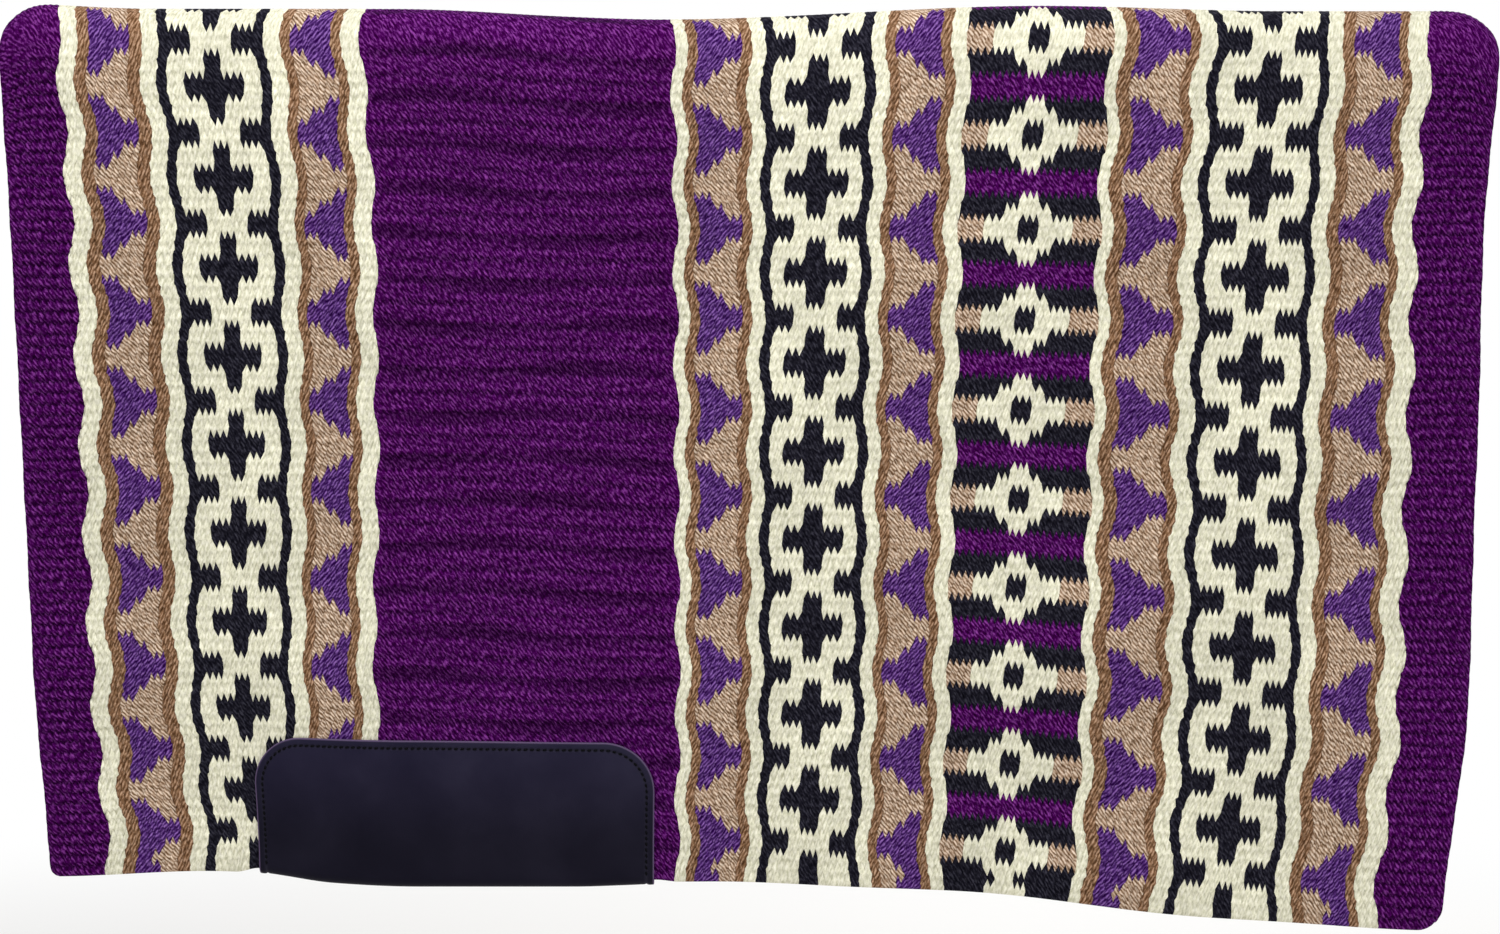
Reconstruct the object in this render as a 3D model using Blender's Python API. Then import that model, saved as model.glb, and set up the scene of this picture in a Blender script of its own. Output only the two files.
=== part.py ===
"""A woven wool saddle blanket, folded over a thin rail, with a wear leather on each side.

+X runs to the blanket's rear edge, -Y is the near side and +Z is up. The origin is the middle of the
rail's top, where the fold's inner face rests. The cloth is laid out flat in three directions, along
the warp, across it and out through its thickness, and then hung point by point.
"""
from math import cos, pi, radians, sin, sqrt

import bmesh
import bpy

MM = 0.001

# The loom sets the cloth's reach on each side of the spine line, in whole pattern repeats.
WARP_PITCH = 6.35 * MM
WARPS_IN_REPEAT = 8
REPEATS_A_SIDE = 10
CLOTH_THICK = 7.5 * MM
HALF_CUT = REPEATS_A_SIDE * WARPS_IN_REPEAT * WARP_PITCH

# Each lot of weft is one band of the cloth, from the front edge to the rear edge.
FRONT_BORDER = 36.0 * MM
FRONT_CROSS_BAND = 177.0 * MM
FIELD = 178.0 * MM
MIDDLE_CROSS_BAND = 164.0 * MM
DIAMOND_BAND = 80.0 * MM
REAR_CROSS_BAND = 187.0 * MM
REAR_BORDER = 42.0 * MM

# The rail carries the fold, and the flaps bend away from the spine strip where the fold is half turned.
RAIL_RADIUS = 12.7 * MM
HINGE_SHARE = 0.5

# Past the rail's ends nothing carries the fold, so its crown sinks.
SINK_WIDTH = 34.0 * MM
SINK_DEPTH = 14.0 * MM
SINK_REACH = 120.0 * MM

# The weave draws in towards the hem, which hangs lower towards the rear, and the hem swings out in
# slack folds that stay clear of the leather.
HEM_DRAW_IN = 19.0 * MM
HEM_DROP = 30.0 * MM
FOLD_SWING = 7.0 * MM
FOLDS_BEHIND_LEATHER = 2.5
FOLD_CLEARANCE = 38.0 * MM

# The wear leather is one flat strip with round corners, wrapped round the hem.
LEATHER_LENGTH = 237.0 * MM
LEATHER_HEIGHT = 85.0 * MM
LEATHER_THICK = 2.4 * MM
LEATHER_CORNER = 30.0 * MM
LEATHER_FROM_FRONT = 135.0 * MM
SEAT_GAP = 0.3 * MM
HEM_GAP = 0.5 * MM

# The seam presses the wool in under the leather, from a little above its top edge.
PRESS_DEPTH = 0.5 * MM
PRESS_ABOVE = 5.0 * MM
PRESS_EASE = 7.0 * MM

# The seam thread lies sunk in a groove round the leather's three free edges, on both faces.
THREAD_RADIUS = 0.5 * MM
THREAD_INSET = 5.0 * MM
THREAD_SUNK = 0.06 * MM

# Facet sizes, for the cloth's columns and rows and for each round.
COLUMN_STEP = 31.0 * MM
ROW_STEP = 44.0 * MM
SINK_COLUMNS = 4
FOLD_ROWS = 3
EDGE_ROWS = 2
EDGE_FLATTEN_SHARE = 0.92
TURN_ROWS = 8
CORNER_ROWS = 5
LEATHER_COLUMNS = 4
TUBE_RESOLUTION = 2
WELD_SHARE = 0.02

# Places that follow from the sizes above.
EDGE_RADIUS = CLOTH_THICK / 2
MID_RADIUS = RAIL_RADIUS + CLOTH_THICK / 2
OUTER_RADIUS = RAIL_RADIUS + CLOTH_THICK
FOLD_REACH = MID_RADIUS * pi / 2
HINGE_REACH = HINGE_SHARE * FOLD_REACH
HINGE_ANGLE = HINGE_SHARE * pi / 2
HINGE_OUT = OUTER_RADIUS * sin(HINGE_ANGLE)
HINGE_UP = OUTER_RADIUS * cos(HINGE_ANGLE) - RAIL_RADIUS

# Wool and leather as they look: name, sRGB colour and roughness.
PURPLE_WOOL = ("purple_wool", "#4A1254", 0.95)
CREAM_WOOL = ("cream_wool", "#E4DFC6", 0.95)
BLACK_WOOL = ("black_wool", "#15161E", 0.95)
WEAR_LEATHER = ("wear_leather", "#1D1B29", 0.45)
DARK_THREAD = ("dark_thread", "#14131B", 0.7)

BANDS = (
    ("front_border", FRONT_BORDER, PURPLE_WOOL),
    ("front_cross_band", FRONT_CROSS_BAND, CREAM_WOOL),
    ("field", FIELD, PURPLE_WOOL),
    ("middle_cross_band", MIDDLE_CROSS_BAND, CREAM_WOOL),
    ("diamond_band", DIAMOND_BAND, BLACK_WOOL),
    ("rear_cross_band", REAR_CROSS_BAND, CREAM_WOOL),
    ("rear_border", REAR_BORDER, PURPLE_WOOL),
)
CUT_LENGTH = sum(width for _, width, _ in BANDS)
FRONT_EDGE = -CUT_LENGTH / 2
REAR_EDGE = CUT_LENGTH / 2
LEATHER_FRONT = FRONT_EDGE + LEATHER_FROM_FRONT
LEATHER_REAR = LEATHER_FRONT + LEATHER_LENGTH
HEM_CENTRE = HALF_CUT - EDGE_RADIUS

# The leather's bend and its straight faces, as radii from the cloth's middle and as lengths.
LEATHER_INNER = EDGE_RADIUS - PRESS_DEPTH + SEAT_GAP
LEATHER_MID = LEATHER_INNER + LEATHER_THICK / 2
LEATHER_OUTER = LEATHER_INNER + LEATHER_THICK
BEND_CENTRE = HALF_CUT + HEM_GAP - LEATHER_INNER
BEND_CENTRE_Z = FOLD_REACH - BEND_CENTRE - RAIL_RADIUS
LEATHER_TURN = pi / 2 * LEATHER_MID
LEATHER_STRAIGHT = LEATHER_HEIGHT - LEATHER_INNER
LEATHER_REACH = LEATHER_TURN + LEATHER_STRAIGHT
PRESS_START = BEND_CENTRE - LEATHER_STRAIGHT - PRESS_ABOVE


def clear_scene():
    """Remove what the file opened with."""
    for old in list(bpy.data.objects):
        bpy.data.objects.remove(old, do_unlink=True)


def linear(channel):
    """One sRGB channel, from 0 to 1, as linear light."""
    if channel <= 0.04045:
        return channel / 12.92
    return ((channel + 0.055) / 1.055) ** 2.4


def material(finish):
    """The Principled material of one finish, made once."""
    name, colour, roughness = finish
    if name in bpy.data.materials:
        return bpy.data.materials[name]
    made = bpy.data.materials.new(name)
    made.use_nodes = True
    shader = made.node_tree.nodes["Principled BSDF"]
    rgb = [linear(int(colour[i:i + 2], 16) / 255) for i in (1, 3, 5)]
    shader.inputs["Base Color"].default_value = (*rgb, 1.0)
    shader.inputs["Roughness"].default_value = roughness
    return made


def own_material(node, finish):
    """A copy of the finish that belongs to one object alone."""
    copy = material(finish).copy()
    copy.name = node + "_" + finish[0]
    return copy


def evenly(start, end, largest):
    """Stations from start to end, no further apart than the largest step."""
    count = max(1, round((end - start) / largest + 0.499))
    return [start + (end - start) * i / count for i in range(count)] + [end]


def smooth(share):
    """An S-shaped ramp from 0 to 1."""
    share = min(max(share, 0.0), 1.0)
    return share * share * (3.0 - 2.0 * share)


def sink(along, reach):
    """How far the fold has sunk past the rail's end, fading out down the flap."""
    past = (abs(along) - (CUT_LENGTH / 2 - SINK_WIDTH)) / SINK_WIDTH
    if past <= 0.0:
        return 0.0
    return SINK_DEPTH * past ** 3 * (1.0 - smooth(reach / SINK_REACH))


def fallen(reach):
    """How far down the flap a place is, from 0 under the fold to 1 at the hem."""
    return max(0.0, (reach - FOLD_REACH) / (HALF_CUT - FOLD_REACH))


def draw_in(along, reach):
    """The place along the blanket once the weave has drawn in towards the hem."""
    return along * (1.0 - HEM_DRAW_IN / (CUT_LENGTH / 2) * fallen(reach))


def swing(along, reach):
    """How far a slack fold stands out from the plane of the flap, growing down to the hem."""
    behind = LEATHER_REAR + FOLD_CLEARANCE
    ahead = LEATHER_FRONT - FOLD_CLEARANCE
    if along > behind:
        wave = sin(pi * FOLDS_BEHIND_LEATHER * (along - behind) / (REAR_EDGE - behind)) ** 2
    elif along < ahead:
        wave = sin(pi / 2 * (ahead - along) / (ahead - FRONT_EDGE)) ** 2
    else:
        wave = 0.0
    return FOLD_SWING * fallen(reach) ** 2 * wave


def drop(along, reach):
    """How much lower a place hangs than it would on a square cloth."""
    behind = LEATHER_REAR + FOLD_CLEARANCE
    return HEM_DROP * fallen(reach) * smooth((along - behind) / (REAR_EDGE - behind))


def pressed(along, reach):
    """How much the seam takes off the cloth's half thickness, under the leather and just round it."""
    if not LEATHER_FRONT - FOLD_CLEARANCE < along < LEATHER_REAR + FOLD_CLEARANCE:
        return 0.0
    return PRESS_DEPTH * min(max((reach - PRESS_START) / PRESS_EASE + 1.0, 0.0), 1.0)


def pile(along, reach):
    """The cloth's half thickness, rounded off at the hem and at both ends."""
    half = CLOTH_THICK / 2 - pressed(along, reach)
    for inside in (HALF_CUT - reach, CUT_LENGTH / 2 - abs(along)):
        if inside < EDGE_RADIUS:
            half *= sqrt(1.0 - EDGE_FLATTEN_SHARE * (1.0 - inside / EDGE_RADIUS) ** 2)
    return half


def hang(along, across, out):
    """Where a point of the flat cloth hangs; out is -1 on its inner face and 1 on its outer face."""
    side = -1.0 if across < 0.0 else 1.0
    reach = abs(across)
    offset = out * pile(along, reach)
    if reach < FOLD_REACH:
        angle = reach / MID_RADIUS
        y = (MID_RADIUS + offset) * sin(angle)
        z = (MID_RADIUS + offset) * cos(angle) - RAIL_RADIUS
    else:
        y = MID_RADIUS + offset + swing(along, reach)
        z = FOLD_REACH - reach - RAIL_RADIUS - drop(along, reach)
    return draw_in(along, reach), side * y, z - sink(along, reach)


def slab(node, columns, rows, place):
    """A flat slab with a cell for each pair of stations, each point of it put in its place."""
    bm = bmesh.new()
    bmesh.ops.create_grid(bm, x_segments=len(columns) - 1, y_segments=len(rows) - 1, size=1.0)
    upper = bmesh.ops.extrude_face_region(bm, geom=bm.faces[:])["geom"]
    raised = [item for item in upper if isinstance(item, bmesh.types.BMVert)]
    bmesh.ops.translate(bm, verts=raised, vec=(0.0, 0.0, 1.0))
    for vert in bm.verts:
        column = round((vert.co.x + 1.0) / 2 * (len(columns) - 1))
        row = round((vert.co.y + 1.0) / 2 * (len(rows) - 1))
        out = 1.0 if vert.co.z > 0.5 else -1.0
        vert.co = place(columns[column], rows[row], out)
    bmesh.ops.recalc_face_normals(bm, faces=bm.faces[:])
    if bm.calc_volume(signed=True) < 0.0:
        bmesh.ops.reverse_faces(bm, faces=bm.faces[:])
    mesh = bpy.data.meshes.new(node)
    bm.to_mesh(mesh)
    bm.free()
    mesh.shade_smooth()
    mesh.set_sharp_from_angle(angle=radians(50.0))
    return mesh


def add(node, data, finish, collection, hinge=None):
    """Put one sub-part in the collection, carried by its hinge if it has one."""
    data.materials.append(own_material(node, finish))
    piece = bpy.data.objects.new(node, data)
    collection.objects.link(piece)
    if hinge is not None:
        piece.parent = hinge
        piece.location = [-place for place in hinge.location]
    return piece


def add_hinge(name, side, collection):
    """An empty on the line that a flap turns about, at the cloth's outer face."""
    hinge = bpy.data.objects.new(name, None)
    hinge.location = (0.0, side * HINGE_OUT, HINGE_UP)
    collection.objects.link(hinge)
    return hinge


def band_columns(start, end):
    """The stations along one band, closer together where the fold sinks and where an end is rounded."""
    marks = [start, end]
    if start == FRONT_EDGE:
        marks += [start + SINK_WIDTH * i / SINK_COLUMNS for i in range(1, SINK_COLUMNS)]
        marks += [start + EDGE_RADIUS * i / EDGE_ROWS for i in range(1, EDGE_ROWS + 1)]
    elif end == REAR_EDGE:
        marks += [end - SINK_WIDTH * i / SINK_COLUMNS for i in range(1, SINK_COLUMNS)]
        marks += [end - EDGE_RADIUS * i / EDGE_ROWS for i in range(1, EDGE_ROWS + 1)]
    else:
        marks = evenly(start, end, COLUMN_STEP)
    return sorted(marks)


def flap_rows():
    """The stations down a flap, from its hinge line to its rounded hem."""
    fold = [HINGE_REACH + (FOLD_REACH - HINGE_REACH) * i / FOLD_ROWS for i in range(FOLD_ROWS)]
    straight = evenly(FOLD_REACH, PRESS_START - PRESS_EASE, ROW_STEP)
    covered = evenly(PRESS_START, HEM_CENTRE, ROW_STEP)
    hem = [HEM_CENTRE + EDGE_RADIUS * i / EDGE_ROWS for i in range(1, EDGE_ROWS + 1)]
    return fold + straight + covered + hem


def spine_rows():
    """The stations over the crown, from one hinge line to the other."""
    one_side = [HINGE_REACH * i / FOLD_ROWS for i in range(1, FOLD_ROWS)] + [HINGE_REACH]
    return [-reach for reach in reversed(one_side)] + [0.0] + one_side


def make_cloth(collection, hinges):
    """The seven weft bands, each in a spine strip, a near flap and an off flap."""
    down = flap_rows()
    start = FRONT_EDGE
    for index, (band, width, finish) in enumerate(BANDS):
        last = index == len(BANDS) - 1
        end = REAR_EDGE if last else start + width
        columns = band_columns(start, end)
        add(band + "_spine", slab(band + "_spine", columns, spine_rows(), hang), finish, collection)
        near = [-reach for reach in reversed(down)]
        add(band + "_near", slab(band + "_near", columns, near, hang), finish, collection, hinges[-1])
        add(band + "_off", slab(band + "_off", columns, down, hang), finish, collection, hinges[1])
        start = end


def wrap_round_hem(along, round_hem, layer, side):
    """Where a point of the flat leather lies; round_hem runs from the outer face's top to the inner's."""
    radius = LEATHER_MID + layer
    if abs(round_hem) < LEATHER_TURN:
        angle = round_hem / LEATHER_MID
        outward = -radius * sin(angle)
        z = BEND_CENTRE_Z - radius * cos(angle)
    else:
        outward = -radius if round_hem > 0.0 else radius
        z = BEND_CENTRE_Z + abs(round_hem) - LEATHER_TURN
    return along, side * (MID_RADIUS + outward), z


def leather_rows():
    """The stations along the flat strip, close together at the round corners and round the hem."""
    corner = [LEATHER_CORNER * (1.0 - cos(pi / 2 * i / CORNER_ROWS)) for i in range(CORNER_ROWS + 1)]
    one_side = [LEATHER_REACH - inside for inside in corner]
    turn = [LEATHER_TURN * 2 * i / TURN_ROWS for i in range(1, TURN_ROWS // 2 + 1)]
    half = sorted(one_side + turn)
    return [-place for place in reversed(half)] + [0.0] + half


def leather_middle():
    """The middle of the leather along the blanket, on the drawn-in cloth under it."""
    return draw_in((LEATHER_FRONT + LEATHER_REAR) / 2, BEND_CENTRE - LEATHER_STRAIGHT / 2)


def make_leather(node, side, collection, hinge):
    """One wear leather: a strip with four round corners, turned up round the hem."""
    middle = leather_middle()
    shares = [2.0 * i / LEATHER_COLUMNS - 1.0 for i in range(LEATHER_COLUMNS + 1)]

    def place(share, round_hem, out):
        half = LEATHER_LENGTH / 2
        inside = LEATHER_REACH - abs(round_hem)
        if inside < LEATHER_CORNER:
            half -= LEATHER_CORNER - sqrt(LEATHER_CORNER ** 2 - (LEATHER_CORNER - inside) ** 2)
        return wrap_round_hem(middle + share * half, round_hem, out * LEATHER_THICK / 2, side)

    return add(node, slab(node, shares, leather_rows(), place), WEAR_LEATHER, collection, hinge)


def seam_line(past_end):
    """The stitch line on one face, as places along the blanket and heights above the bend's centre."""
    top = LEATHER_STRAIGHT - THREAD_INSET
    front = leather_middle() - LEATHER_LENGTH / 2 + THREAD_INSET
    rear = leather_middle() + LEATHER_LENGTH / 2 - THREAD_INSET
    radius = LEATHER_CORNER - THREAD_INSET
    turns = [pi / 2 * i / CORNER_ROWS for i in range(CORNER_ROWS + 1)]
    up = [(front + radius * (1.0 - cos(t)), top - radius * (1.0 - sin(t))) for t in turns]
    down = [(rear - radius * (1.0 - cos(t)), top - radius * (1.0 - sin(t))) for t in reversed(turns)]
    return [(front, -past_end)] + up + down + [(rear, -past_end)]


def seam_tube(name, side, face, radius, past_end):
    """A tube along the stitch line of the leather's outer face (1) or inner face (-1)."""
    curve = bpy.data.curves.new(name, "CURVE")
    curve.dimensions = "3D"
    curve.bevel_depth = radius
    curve.bevel_resolution = TUBE_RESOLUTION
    curve.use_fill_caps = True
    out = LEATHER_OUTER - THREAD_RADIUS - THREAD_SUNK
    y = side * (MID_RADIUS + face * out)
    line = seam_line(past_end)
    spline = curve.splines.new("POLY")
    spline.points.add(len(line) - 1)
    for point, (along, up) in zip(spline.points, line):
        point.co = (along, y, BEND_CENTRE_Z + up, 1.0)
    return curve


def cut_groove(leather, side, face, collection, cutters):
    """Cut the groove that one run of thread lies in."""
    name = leather.name + "_groove_" + ("outside" if face > 0 else "inside")
    curve = seam_tube(name, side, face, THREAD_RADIUS + SEAT_GAP, SEAT_GAP)
    tube = bpy.data.objects.new(name, curve)
    collection.objects.link(tube)
    mesh = bpy.data.meshes.new_from_object(tube.evaluated_get(bpy.context.evaluated_depsgraph_get()))
    bpy.data.objects.remove(tube)
    bm = bmesh.new()
    bm.from_mesh(mesh)
    bmesh.ops.remove_doubles(bm, verts=bm.verts[:], dist=WELD_SHARE * THREAD_RADIUS)
    bmesh.ops.recalc_face_normals(bm, faces=bm.faces[:])
    bm.to_mesh(mesh)
    bm.free()
    cutter = bpy.data.objects.new(name, mesh)
    cutters.objects.link(cutter)
    cutter.hide_render = True
    cutter.display_type = "WIRE"
    cutter.parent = leather.parent
    cutter.location = leather.location
    groove = leather.modifiers.new("groove", "BOOLEAN")
    groove.operation = "DIFFERENCE"
    groove.object = cutter


def main():
    clear_scene()
    collection = bpy.data.collections.new("saddle_blanket")
    cutters = bpy.data.collections.new("cutters")
    bpy.context.scene.collection.children.link(collection)
    bpy.context.scene.collection.children.link(cutters)
    hinges = {
        -1: add_hinge("near_hinge_line", -1.0, collection),
        1: add_hinge("off_hinge_line", 1.0, collection),
    }
    make_cloth(collection, hinges)
    for side, name in ((-1, "near"), (1, "off")):
        leather = make_leather("wear_leather_" + name, side, collection, hinges[side])
        for face, where in ((1, "outside"), (-1, "inside")):
            cut_groove(leather, side, face, collection, cutters)
            node = "seam_thread_" + name + "_" + where
            add(node, seam_tube(node, side, face, THREAD_RADIUS, 0.0), DARK_THREAD, collection, hinges[side])
    for base in (PURPLE_WOOL, CREAM_WOOL, BLACK_WOOL, WEAR_LEATHER, DARK_THREAD):
        bpy.data.materials.remove(bpy.data.materials[base[0]])
    bpy.context.view_layer.update()


main()
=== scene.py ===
from math import cos, pi, radians, sin

import bmesh
import bpy
import numpy as np
from mathutils import Matrix, Vector


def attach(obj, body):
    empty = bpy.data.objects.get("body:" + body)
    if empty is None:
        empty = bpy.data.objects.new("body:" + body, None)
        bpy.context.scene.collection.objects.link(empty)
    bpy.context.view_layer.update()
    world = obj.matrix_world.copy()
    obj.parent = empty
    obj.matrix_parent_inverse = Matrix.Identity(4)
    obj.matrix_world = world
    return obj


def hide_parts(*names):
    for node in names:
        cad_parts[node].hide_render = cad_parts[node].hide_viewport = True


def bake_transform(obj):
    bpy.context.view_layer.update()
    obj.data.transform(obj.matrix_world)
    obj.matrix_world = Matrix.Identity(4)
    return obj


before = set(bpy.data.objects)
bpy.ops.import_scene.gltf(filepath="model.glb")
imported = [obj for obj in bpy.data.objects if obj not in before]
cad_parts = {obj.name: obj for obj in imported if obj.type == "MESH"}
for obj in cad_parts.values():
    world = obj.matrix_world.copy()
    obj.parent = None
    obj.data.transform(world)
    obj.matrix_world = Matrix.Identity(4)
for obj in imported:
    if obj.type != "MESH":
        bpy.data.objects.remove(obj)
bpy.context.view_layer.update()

# A weft-faced wool saddle blanket, folded over a thin rail, with a wear leather on each side.
# +X runs to the rear edge, -Y is the near side and +Z is up, and the origin is the rail's top.
# Sizes are in millimetres until a mesh is made.
MM = 0.001

# The cloth lies flat in three directions: along the warp, out from the spine line, and through its
# thickness. These sizes are the ones that the solids were made from.
WARP_PITCH = 6.35
WARPS_IN_REPEAT = 8
RIBS = 80
CLOTH_THICK = 7.5
HALF_CUT = RIBS * WARP_PITCH
RAIL_RADIUS = 12.7
MID_RADIUS = RAIL_RADIUS + CLOTH_THICK / 2
FOLD_REACH = MID_RADIUS * pi / 2
SINK_WIDTH = 34.0
SINK_DEPTH = 14.0
SINK_REACH = 120.0
HEM_DRAW_IN = 19.0
HEM_DROP = 30.0
FOLD_SWING = 7.0
FOLDS_BEHIND_LEATHER = 2.5
FOLD_CLEARANCE = 38.0
EDGE_FLATTEN_SHARE = 0.92

# Each lot of weft: its node names, its width, and how many picks of yarn lie side by side in it.
BANDS = (
    ("front_border", 36.0, 19),
    ("front_cross_band", 177.0, 93),
    ("field", 178.0, 94),
    ("middle_cross_band", 164.0, 86),
    ("diamond_band", 80.0, 42),
    ("rear_cross_band", 187.0, 100),
    ("rear_border", 42.0, 22),
)
CUT_LENGTH = sum(width for _, width, _ in BANDS)
HALF_LENGTH = CUT_LENGTH / 2
FRONT_EDGE = -HALF_LENGTH
REAR_EDGE = HALF_LENGTH
BAND_PLACES = FRONT_EDGE + np.cumsum([0.0] + [width for _, width, _ in BANDS])
BAND_PICKS = np.cumsum([0] + [picks for _, _, picks in BANDS])
PICKS = int(BAND_PICKS[-1])
FIELD_FRONT = BAND_PLACES[2]
FIELD_REAR = BAND_PLACES[3]

# The wear leather, a strip with round corners wrapped round the hem.
LEATHER_LENGTH = 237.0
HALF_LEATHER = LEATHER_LENGTH / 2
LEATHER_HEIGHT = 85.0
LEATHER_THICK = 2.4
LEATHER_CORNER = 30.0
LEATHER_FROM_FRONT = 135.0
PRESS_DEPTH = 0.5
PRESS_SPARE = 0.15
SEAT_GAP = 0.3
HEM_GAP = 0.5
LEATHER_INNER = CLOTH_THICK / 2 - PRESS_DEPTH + SEAT_GAP
LEATHER_MID = LEATHER_INNER + LEATHER_THICK / 2
BEND_CENTRE = HALF_CUT + HEM_GAP - LEATHER_INNER
BEND_CENTRE_Z = FOLD_REACH - BEND_CENTRE - RAIL_RADIUS
LEATHER_TURN = pi / 2 * LEATHER_MID
LEATHER_STRAIGHT = LEATHER_HEIGHT - LEATHER_INNER
LEATHER_REACH = LEATHER_TURN + LEATHER_STRAIGHT
LEATHER_FRONT = FRONT_EDGE + LEATHER_FROM_FRONT
LEATHER_REAR = LEATHER_FRONT + LEATHER_LENGTH
FOLDS_BEHIND = LEATHER_REAR + FOLD_CLEARANCE
FOLDS_AHEAD = LEATHER_FRONT - FOLD_CLEARANCE
# The cloth under a leather is pressed until just outside its edge, and is free again a little further on.
COVER_MARGIN = 1.0
COVER_FADE = 5.0

# How far the real cloth strays from the ruled one, in whole millimetres, judged from the photograph at
# seven places from the front edge to the rear edge, and at five levels from the crown to the hem.
STRAY_PLACES = (FRONT_EDGE, -340.0, -200.0, -45.0, 165.0, 300.0, REAR_EDGE)
STRAY_LEVELS = (0.0, 130.0, 250.0, 380.0, HALF_CUT)
LEAN_ALONG = (
    (-1, -7, -5, -3, 6, 10, 3),
    (0, 0, 0, -2, 1, 4, -1),
    (0, 1, -2, -2, -1, 3, 2),
    (0, -1, -7, -2, -2, 4, 4),
    (4, 4, -3, -3, -5, -3, -6),
)
SETTLE_UP = (
    (5, 2, 2, -4, 4, 1, 1),
    (0, -2, -3, -5, -3, -1, 5),
    (-6, -3, -4, -8, -4, -3, 1),
    (-7, -5, -7, -9, -4, -5, -4),
    (-2, 0, -7, -7, -4, -5, -5),
)
# The two lower corners of a wear leather lift with the cloth inside them.
TUCK_FRONT = 2.8
TUCK_REAR = 1.2
TUCK_LENGTH = 46.0
TUCK_FADE = 14.0
# The hem's two corners are worn round, more at the rear.
CORNER_FRONT = 6.0
CORNER_REAR = 15.0
NEARLY_ZERO = 1e-6
# The flap is not quite flat: low swells in and out, as (millimetres, length along, length down, turn).
SWELLS = ((1.1, 61.0, 83.0, 0.8), (0.8, 34.0, 140.0, 2.1))
SWELL_FADE = 60.0
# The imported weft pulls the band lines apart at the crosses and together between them.
PULL_PLACES = (FRONT_EDGE, -396.0, -335.0, -272.0, FIELD_FRONT, FIELD_REAR, 10.5,
               71.5, 123.0, 203.0, 258.0, 327.0, 390.0, REAR_EDGE)
PULL_SIZES = (0.3, -2.4, -1.8, 1.7, 1.7, -1.9, -1.8,
              1.8, 1.9, -2.1, -2.4, 1.8, 2.6, 0.3)

# The weave: four rows of faces to a rib, and picks that float over every second warp.
ROWS_IN_RIB = 4
ROWS = RIBS * ROWS_IN_RIB
# So many picks lie closer together at each rounded edge.
EASED = 3
# A rib's rows of points run from the line between two ribs over the rib's top. At each of them these
# are the share of a tip's reach, and the height and painted hollow shade of a float and of a pick that
# passes behind.
TIP_SHARES = (1.0, 0.42, 0.0, 0.42)
FLOAT_HEIGHTS = (-0.48, 0.19, 0.36, 0.19)
BEHIND_HEIGHTS = (-0.48, -0.25, 0.0, -0.25)
FLOAT_HOLLOW_SHADES = (1.0, 0.25, 0.0, 0.25)
BEHIND_HOLLOW_SHADES = (1.0, 0.9, 0.75, 0.9)
# How far each float's tip reaches past the rib's edge, and how much relief the ribs have, by place.
ZONE_PLACES = (FRONT_EDGE, -397.0, -394.0, -221.0, -217.0, -43.0, -39.0, 388.0, 392.0, REAR_EDGE)
TIP_REACHES = (0.9, 0.9, 2.5, 2.5, 1.4, 1.4, 2.5, 2.5, 0.9, 0.9)
RELIEF_SHARES = (2.7, 2.7, 1.12, 1.12, 1.08, 1.08, 1.12, 1.12, 2.7, 2.7)
# The shade painted in a hollow is darker where the ribs have more relief.
HOLLOW_SHADE_SHARE = 0.81
HOLLOW_SHADE_BY_RELIEF = 0.19
# Pulled tight over the rail, the ribs keep these shares of their relief and of the shade painted in their
# hollows, as far as CROWN_END from the spine line. Both come back over CROWN_FADE.
CROWN_RELIEF = 0.35
CROWN_HOLLOW_SHADE = 0.15
CROWN_END = 12.0
CROWN_FADE = 38.0
# Relief is lower at the rounded edges, and under a wear leather.
EDGE_RELIEF = 0.35
COVERED_RELIEF = 0.25
# The plain field lies in low waves, four ribs each, with a groove one rib below each pattern row and a
# fainter one between, and painted shade darkens each groove. The grooves wander, and where the one fades
# the other deepens. They start WAVE_SPILL outside the field and reach their full depth over WAVE_FADE.
WAVE_RIBS = 4
WAVE_SPILL = 4.0
WAVE_FADE = 12.0
GROOVE_DEPTH = 2.3
GROOVE_SHADE = 1.45
GROOVE_RIB = 1
GROOVE_POWER = 8
FAINT_SHARE = 0.4
FAINT_POWER = 12
WANDER = 0.35
WANDER_ALONG = 29.0
WANDER_DOWN = 47.0
FADE_MIDDLE = 0.75
FADE_SIZE = 0.25
FADE_ALONG = 21.0
FADE_TURN = 2.4
# By chance each point is higher or lower, and each tip longer or shorter, by up to half UNEVEN_SHARE.
# It lies up to half UNEVEN_SHIFT further along or back, unless it is within EDGE_STILL of an edge.
UNEVEN_SHARE = 0.22
UNEVEN_SHIFT = 0.3
EDGE_STILL = 0.5
# How far, in picks, each line between two colours is pulled straight.
STRAIGHTEN = 0.37

rng = np.random.default_rng(2402)
uneven = rng.random((PICKS + 1, 2 * ROWS + 1, 3)) - 0.5
strand_shades = rng.random((PICKS + 1, 2 * RIBS))

PURPLE, CREAM, BLACK, BROWN, TAN, VIOLET = range(6)


def side_word(side):
    """The word for a side in the names of pieces and bodies."""
    return "near" if side < 0.0 else "off"


# Where each point of the cloth hangs

def ramp(share):
    """An S-shaped ramp from 0 to 1."""
    share = np.clip(share, 0.0, 1.0)
    return share * share * (3.0 - 2.0 * share)


def rise(start, share):
    """A smooth rise from a starting share to 1."""
    return start + (1.0 - start) * ramp(share)


def fallen(reach):
    """How far down the flap a place is, from 0 under the fold to 1 at the hem."""
    return np.maximum(0.0, (reach - FOLD_REACH) / (HALF_CUT - FOLD_REACH))


def drawn_share(reach):
    """The share of its cut length that the blanket keeps, as the weave draws in towards the hem."""
    return 1.0 - HEM_DRAW_IN / HALF_LENGTH * fallen(reach)


def draw_in(along, reach):
    """The place along the blanket once the weave has drawn in."""
    return along * drawn_share(reach)


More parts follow.
